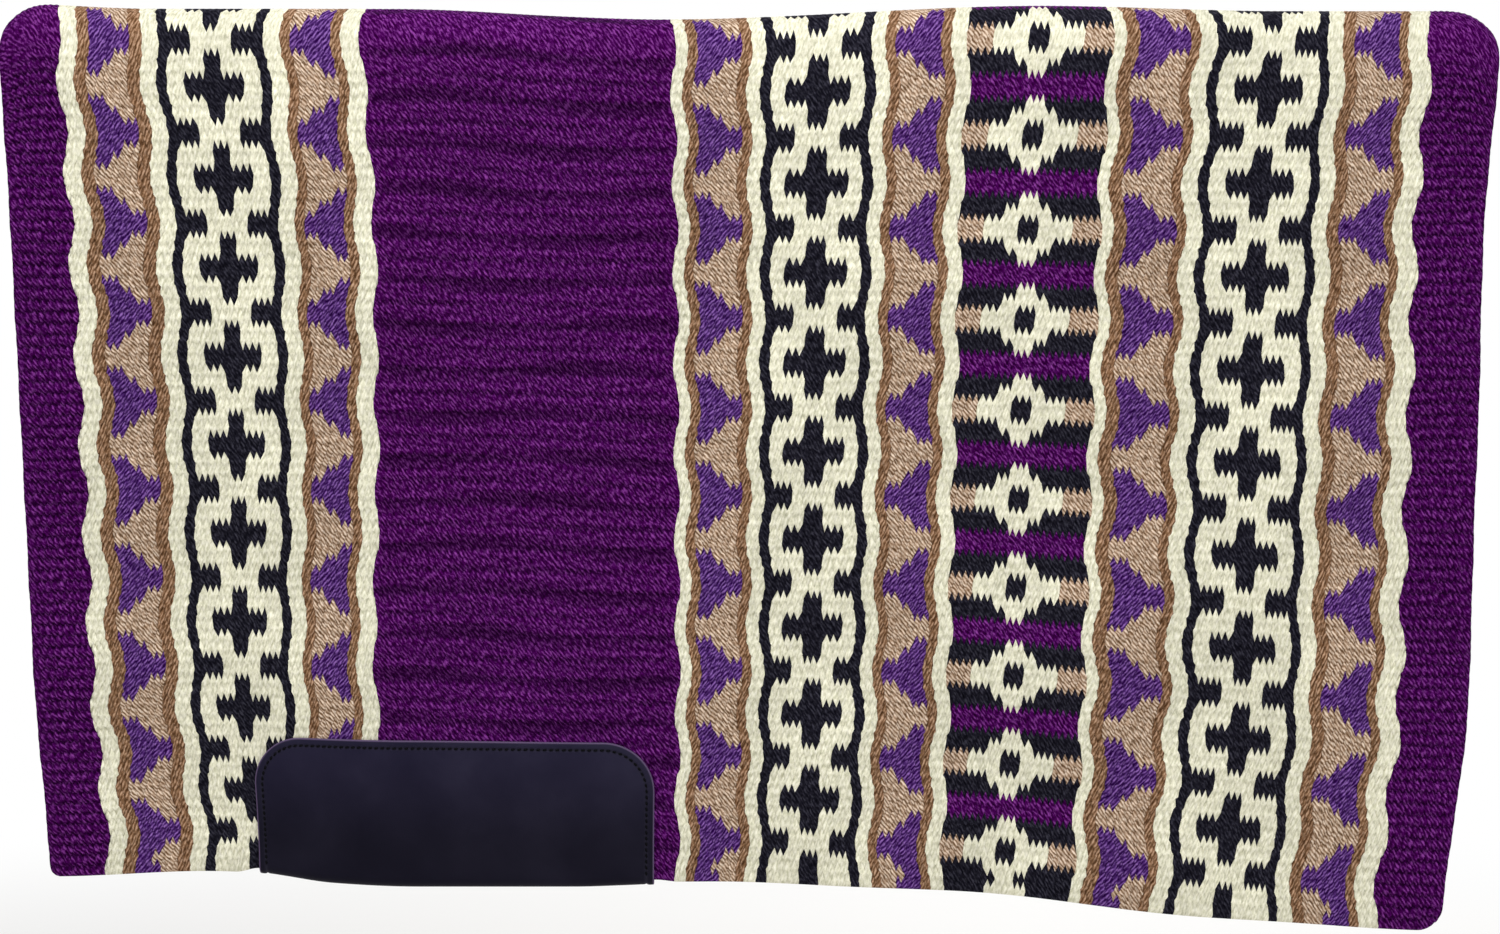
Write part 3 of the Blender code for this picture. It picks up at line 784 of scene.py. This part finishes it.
def cloth_half(band, index, side):
    """One band from the spine line down to its hem, with its yarns as real floats over each rib."""
    flap = side_word(side)
    name = band + "_cloth_" + flap
    first, last = int(BAND_PICKS[index]), int(BAND_PICKS[index + 1])
    picks = last - first
    mesh, column, row, outer = closed_grid(name, picks, ROWS)
    column = column + first
    table = band_pattern(band, picks)
    along, reach, height, hollow_shade = weave(table, first, column, row, side)
    half = pile(along, reach) + height
    along, reach = round_corner(along, reach)
    x, y, z = hang(along, reach, np.where(outer, half, -half), side)
    put(mesh, x, y, z)
    corners = face_corners(mesh)
    left = column[corners].min(1)
    rib = np.minimum(row[corners].min(1) // ROWS_IN_RIB, RIBS - 1)
    order = rib_order(rib, side)
    pick = np.where((left + order) % 2 == 0, left, left + 1)
    pick = np.minimum(pick, column[corners].max(1))
    yarns = table[rib, np.clip(pick - first, 0, picks - 1)]
    used = sorted(set(yarns.tolist()))
    for yarn in used:
        mesh.materials.append(YARNS[yarn])
    mesh.polygons.foreach_set("material_index", np.searchsorted(used, yarns).astype(np.int32))
    give(mesh, "flat", "FLOAT_VECTOR", "POINT", flat_places(along, side * reach, outer))
    # The painted shade of each hollow, which the yarns' materials darken by.
    give(mesh, "hollow_shade", "FLOAT", "POINT", hollow_shade)
    give(mesh, "strand", "FLOAT", "FACE", strand_shades[pick, RIBS + order])
    lay_out(mesh, column - first, row, outer, picks, ROWS)
    piece = add_piece(name, mesh)
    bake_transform(piece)
    nodes = [band + "_" + flap]
    if side < 0.0:
        nodes.append(band + "_spine")
    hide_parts(*nodes)


# The leather's columns and rows lie closest at its cut edge, then FINE_STEP apart past its seam or to
# the end of its round corners, and further apart beyond.
EASED_STEPS = (0.0, 0.12, 0.3, 0.6)
FINE_START = 1.0
FINE_STEP = 0.5
FINE_COLUMNS = 12.0
COLUMN_START = 14.0
COLUMN_STEP = 6.0
ROW_START = LEATHER_CORNER + 3.0
ROW_STEP = 4.0
TURN_ROWS = 6


def steps_in(fine_end, coarse_start, coarse_step, end):
    """How far in from the cut edge each column or row lies."""
    fine = np.arange(FINE_START, fine_end + FINE_STEP / 2, FINE_STEP)
    return np.concatenate([EASED_STEPS, fine, np.arange(coarse_start, end, coarse_step)])


def both_ways(marks):
    """Marks and their mirror images as one rising array, with doubles dropped."""
    return np.unique(np.round(np.concatenate([marks, -marks]), 4))


def leather_grid():
    """The leather's columns, as shares of its half length, and its rows, round the hem."""
    inset = np.append(steps_in(FINE_COLUMNS, COLUMN_START, COLUMN_STEP, HALF_LEATHER), HALF_LEATHER)
    flat_rows = LEATHER_REACH - steps_in(LEATHER_CORNER, ROW_START, ROW_STEP, LEATHER_STRAIGHT)
    turn = LEATHER_TURN * np.arange(TURN_ROWS + 1) / TURN_ROWS
    return both_ways(1.0 - inset / HALF_LEATHER), both_ways(np.concatenate([flat_rows, turn]))


# The seam's place, how far it is pulled down, and how wide. The leather swells between the seam and its
# cut edge, and dips a little inside the seam.
SEAM_INSET = 4.5
SEAM_SINK = 0.4
SEAM_SPREAD = 0.8
SEAM_SWELL = 0.14
SWELL_END = 9.0
EASE_DEPTH = 0.3
EASE_WIDTH = 0.6
# The painted highlight along the cut edge, and the painted highlight along the seam line, for the glints at
# its stitch holes.
EDGE_HIGHLIGHT_WIDTH = 0.2
EDGE_HIGHLIGHT_FADE = 0.8
SEAM_HIGHLIGHT_SHARE = 0.8
SEAM_HIGHLIGHT_SPREAD = 1.1 * SEAM_SPREAD


def leather_half(round_hem):
    """Half the leather's length at a row, shorter where its corners are rounded."""
    inside = LEATHER_REACH - np.abs(round_hem)
    corner = np.maximum(LEATHER_CORNER - inside, 0.0)
    return HALF_LEATHER - LEATHER_CORNER + np.sqrt(np.maximum(LEATHER_CORNER ** 2 - corner ** 2, 0.0))


def from_edge(place, round_hem):
    """How far inside the leather's cut edge a place of the flat strip is."""
    side_gap = HALF_LEATHER - np.abs(place)
    end_gap = LEATHER_REACH - np.abs(round_hem)
    corner_x, corner_y = LEATHER_CORNER - side_gap, LEATHER_CORNER - end_gap
    in_corner = (corner_x > 0.0) & (corner_y > 0.0)
    return np.where(in_corner, LEATHER_CORNER - np.hypot(corner_x, corner_y), np.minimum(side_gap, end_gap))


def lie_on_flap(place, round_hem, layer, side):
    """Where a point of the flat leather lies, layer millimetres out from its own middle."""
    radius = LEATHER_MID + layer
    angle = np.clip(round_hem, -LEATHER_TURN, LEATHER_TURN) / LEATHER_MID
    outward = -radius * np.sin(angle)
    z = BEND_CENTRE_Z - radius * np.cos(angle) + np.maximum(np.abs(round_hem) - LEATHER_TURN, 0.0)
    x = leather_middle() + place
    reach = np.clip(FOLD_REACH - RAIL_RADIUS - z, FOLD_REACH, HALF_CUT)
    lean, out, up = stray(x / drawn_share(reach), reach)
    return x + lean, side * (MID_RADIUS + outward + out), z + up + tuck(place, reach)


def wear_leather(side, finish):
    """One wear leather, bent round the hem, pulled down along its seam and eased at its cut edge."""
    flap = side_word(side)
    name = "wear_leather_panel_" + flap
    columns, rows = leather_grid()
    mesh, column, row, outer = closed_grid(name, len(columns) - 1, len(rows) - 1)
    round_hem = rows[row]
    place = columns[column] * leather_half(round_hem)
    inset = from_edge(place, round_hem)
    past_seam = inset - SEAM_INSET
    at_edge = 1.0 - np.clip(inset / EASE_WIDTH, 0.0, 1.0)
    eased = EASE_DEPTH * (1.0 - np.sqrt(1.0 - at_edge ** 2))
    groove = SEAM_SINK * np.exp(-(past_seam / SEAM_SPREAD) ** 2)
    swell = SEAM_SWELL * np.sin(pi * np.clip(inset / SEAM_INSET, 0.0, 1.0))
    dip = SEAM_SWELL * (1.0 - ramp(past_seam / SWELL_END)) * (past_seam > 0.0)
    lift = LEATHER_THICK / 2 - eased + np.where(outer, swell - dip - groove, 0.0)
    x, y, z = lie_on_flap(place, round_hem, np.where(outer, lift, -lift), side)
    put(mesh, x, y, z)
    mesh.materials.append(finish)
    give(mesh, "flat", "FLOAT_VECTOR", "POINT", flat_places(place, round_hem, outer))
    # Painted highlights: the cut edge and the seam line are made paler in the leather's material.
    give(mesh, "edge", "FLOAT", "POINT", 1.0 - ramp((inset - EDGE_HIGHLIGHT_WIDTH) / EDGE_HIGHLIGHT_FADE))
    give(mesh, "seam", "FLOAT", "POINT", SEAM_HIGHLIGHT_SHARE * np.exp(-(past_seam / SEAM_HIGHLIGHT_SPREAD) ** 2) * outer)
    lay_out(mesh, column, row, outer, len(columns) - 1, len(rows) - 1)
    piece = add_piece(name, mesh)
    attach(piece, flap + "_flap")
    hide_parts("wear_leather_" + flap)


STITCH_PITCH = 3.6
STITCH_LENGTH = 2.5
STITCH_RADIUS = 0.62
STITCH_STAND = 0.32
STITCH_SLANT = 0.2
STITCH_SIDES = 8
STITCH_RINGS = 5


def seam_line(face):
    """The seam's line on one face of the leather, as places, rows and directions, one for each stitch."""
    half = HALF_LEATHER - SEAM_INSET
    radius = LEATHER_CORNER - SEAM_INSET
    top = LEATHER_REACH - SEAM_INSET
    side_run = top - radius - LEATHER_TURN
    turn = pi / 2 * radius
    across = 2 * (half - radius)
    whole = 2 * side_run + 2 * turn + across
    stitches = []
    for number in range(int(whole / STITCH_PITCH)):
        at = (number + 0.5) * STITCH_PITCH
        if at < side_run:
            spot, heading = (-half, LEATHER_TURN + at), pi / 2
        elif at < side_run + turn:
            angle = (at - side_run) / radius
            spot = (-half + radius * (1.0 - cos(angle)), top - radius * (1.0 - sin(angle)))
            heading = pi / 2 - angle
        elif at < side_run + turn + across:
            spot, heading = (-half + radius + at - side_run - turn, top), 0.0
        elif at < side_run + 2 * turn + across:
            angle = (at - side_run - turn - across) / radius
            spot = (half - radius * (1.0 - sin(angle)), top - radius * (1.0 - cos(angle)))
            heading = -angle
        else:
            spot, heading = (half, LEATHER_TURN + whole - at), -pi / 2
        stitches.append((spot[0], face * spot[1], heading))
    return stitches


def seam(side, face, finish):
    """One face's run of stitches, each a short slanted strand that dips into the leather at its ends."""
    flap = side_word(side)
    shown = "outside" if face > 0 else "inside"
    layer = LEATHER_THICK / 2 - SEAM_SINK + STITCH_STAND
    # A ball with its poles laid along X is drawn out to one strand.
    laid = Matrix.Rotation(pi / 2, 4, "Y")
    drawn = Matrix.Diagonal((STITCH_LENGTH / 2, STITCH_RADIUS, STITCH_RADIUS, 1.0))
    bm = bmesh.new()
    for place, round_hem, heading in seam_line(-face):
        x, y, z = lie_on_flap(place, round_hem, layer, side)
        at = Matrix.Translation((float(x), float(y), float(z)))
        spun = Matrix.Rotation(-heading - STITCH_SLANT, 4, "Y")
        bmesh.ops.create_uvsphere(bm, u_segments=STITCH_SIDES, v_segments=STITCH_RINGS, radius=1.0,
                                  matrix=at @ spun @ drawn @ laid)
    bmesh.ops.scale(bm, vec=(MM, MM, MM), verts=bm.verts)
    mesh = bpy.data.meshes.new("leather_stitches_" + flap + "_" + shown)
    bm.to_mesh(mesh)
    bm.free()
    mesh.materials.append(finish)
    piece = add_piece(mesh.name, mesh)
    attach(piece, flap + "_flap")
    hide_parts("seam_thread_" + flap + "_" + shown)


# Camera, light and stage

CAMERA_AT = (-8.2, -1589.6, -161.0)
CAMERA_YAW = radians(-0.32)
CAMERA_PITCH = radians(3.5)
CAMERA_LENS = 64.8


def make_camera():
    """The photograph's viewpoint, about 1.6 m in front and level with the upper half of the blanket."""
    data = bpy.data.cameras.new("camera")
    data.sensor_width = 36.0
    data.lens = CAMERA_LENS
    data.clip_end = 30.0
    camera = bpy.data.objects.new("camera", data)
    level = cos(CAMERA_PITCH)
    ahead = Vector((-sin(CAMERA_YAW) * level, cos(CAMERA_YAW) * level, -sin(CAMERA_PITCH)))
    camera.rotation_mode = "QUATERNION"
    camera.rotation_quaternion = ahead.to_track_quat("-Z", "Y")
    camera.location = Vector(CAMERA_AT) * MM
    bpy.context.scene.collection.objects.link(camera)
    bpy.context.scene.camera = camera


# Each lamp: name, place in metres, side of its square, and power in watts. All of them point at AIM.
LAMPS = (
    ("key", (-0.3, -1.0, 1.15), 1.1, 24.0),
    ("fill", (1.3, -1.9, 0.2), 1.4, 9.0),
    ("back", (0.5, 1.5, 0.7), 1.2, 19.0),
)
AIM = (0.0, 0.0, -0.25)
SKY_LEVEL = 0.46
WHITE = (1.0, 1.0, 1.0, 1.0)
# The floor, in metres: its height, its radius, and where it starts and ends its fade into white.
FLOOR_LEVEL = -0.78
FLOOR_RADIUS = 6.0
FADE_START = 1.05
FADE_END = 1.9


def meets_white(tree):
    """1 for the rays that see white behind the blanket: the camera's, and those off or through a gloss."""
    seen = add_node(tree, "ShaderNodeLightPath")
    first = add_node(tree, "ShaderNodeMath", operation="MAXIMUM",
                     links={0: seen.outputs["Is Camera Ray"], 1: seen.outputs["Is Glossy Ray"]})
    either = add_node(tree, "ShaderNodeMath", operation="MAXIMUM",
                      links={0: first.outputs[0], 1: seen.outputs["Is Transmission Ray"]})
    return either.outputs[0]


def make_light():
    """Soft studio lamps and an even sky, with plain white behind the blanket."""
    for name, place, size, power in LAMPS:
        data = bpy.data.lights.new(name, "AREA")
        data.energy = power
        data.size = size
        lamp = bpy.data.objects.new(name, data)
        lamp.location = place
        lamp.rotation_mode = "QUATERNION"
        lamp.rotation_quaternion = (Vector(AIM) - Vector(place)).to_track_quat("-Z", "Y")
        bpy.context.scene.collection.objects.link(lamp)
    world = bpy.data.worlds.new("studio")
    world.use_nodes = True
    tree = world.node_tree
    tree.nodes.clear()
    to_white = meets_white(tree)
    sky = add_node(tree, "ShaderNodeBackground", {"Color": WHITE, "Strength": SKY_LEVEL})
    white = add_node(tree, "ShaderNodeBackground", {"Color": WHITE, "Strength": 1.0})
    mixed = add_node(tree, "ShaderNodeMixShader",
                     links={0: to_white, 1: sky.outputs[0], 2: white.outputs[0]})
    add_node(tree, "ShaderNodeOutputWorld", links={"Surface": mixed.outputs[0]})
    bpy.context.scene.world = world


def make_floor():
    """A pale floor below the hem, which keeps the blanket's shadow and fades into the white behind it."""
    bm = bmesh.new()
    bmesh.ops.create_circle(bm, cap_ends=True, segments=96, radius=FLOOR_RADIUS)
    bmesh.ops.translate(bm, verts=bm.verts, vec=(0.0, 0.0, FLOOR_LEVEL))
    mesh = bpy.data.meshes.new("floor")
    bm.to_mesh(mesh)
    bm.free()
    made, tree, shader = new_material("pale studio floor")
    shader.inputs["Base Color"].default_value = colour("#EDECEA")
    shader.inputs["Roughness"].default_value = 0.9
    shader.inputs["Specular IOR Level"].default_value = 0.1
    place = add_node(tree, "ShaderNodeTexCoord")
    distance = add_node(tree, "ShaderNodeVectorMath", links={0: place.outputs["Object"]},
                        operation="LENGTH")
    far = add_node(tree, "ShaderNodeMapRange", {"From Min": FADE_START, "From Max": FADE_END},
                   {"Value": distance.outputs["Value"]}, interpolation_type="SMOOTHSTEP")
    share = add_node(tree, "ShaderNodeMath", links={0: far.outputs[0], 1: meets_white(tree)},
                     operation="MULTIPLY")
    white = add_node(tree, "ShaderNodeEmission", {"Color": WHITE, "Strength": 1.0})
    mixed = add_node(tree, "ShaderNodeMixShader",
                     links={0: share.outputs[0], 1: shader.outputs[0], 2: white.outputs[0]})
    tree.links.new(mixed.outputs[0], tree.nodes["Material Output"].inputs["Surface"])
    mesh.materials.append(made)
    floor = bpy.data.objects.new("floor", mesh)
    bpy.context.scene.collection.objects.link(floor)


bpy.context.scene.view_settings.view_transform = "Standard"
make_camera()
make_light()
make_floor()
leather_finish = wear_leather_material()
thread_finish = thread_material()
for side in (-1.0, 1.0):
    for index, (band, _, _) in enumerate(BANDS):
        cloth_half(band, index, side)
    wear_leather(side, leather_finish)
    for face in (1, -1):
        seam(side, face, thread_finish)
